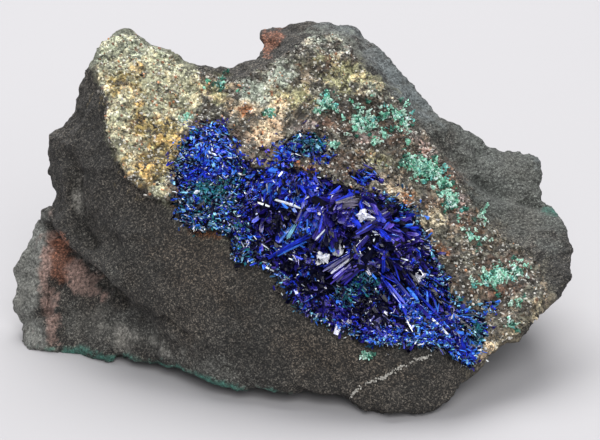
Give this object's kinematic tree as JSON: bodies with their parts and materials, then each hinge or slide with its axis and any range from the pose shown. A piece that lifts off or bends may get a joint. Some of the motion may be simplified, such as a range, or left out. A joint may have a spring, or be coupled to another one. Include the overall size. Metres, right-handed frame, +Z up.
{
  "type": "mineral specimen",
  "caption": "Linarite specimen: deep blue tabular crystals in a pale vein with green druses and white cerussite on a broken block of dark rock.",
  "frame": {"origin": "middle of the footprint, at the height of the table that the block rests on", "axes": "+X to the right along the block's length as seen from the crystal side, +Y away from that side, +Z up"},
  "size_m": [0.0866, 0.0598, 0.0463],
  "materials": {
    "host_rock": "rough broken stone, dark grey-brown",
    "vein_quartz": "gritty buff vein quartz with brown and green stains",
    "linarite": "glassy deep blue crystal faces",
    "green_druse": "fine bright green crystal crust",
    "cerussite": "clear to white glassy crystal"
  },
  "bodies": {
    "root": {"host_rock": "host_rock", "vein_layer": "vein_quartz", "linarite_cluster": "linarite", "linarite_satellite_high": "linarite", "linarite_satellite_right": "linarite", "green_druse_1": "green_druse", "green_druse_2": "green_druse", "green_druse_3": "green_druse", "green_druse_4": "green_druse", "green_druse_5": "green_druse", "green_druse_6": "green_druse", "green_druse_7": "green_druse", "cerussite_crystal_1": "cerussite", "cerussite_crystal_2": "cerussite", "cerussite_crystal_3": "cerussite", "cerussite_crystal_4": "cerussite"}
  },
  "joints": []
}
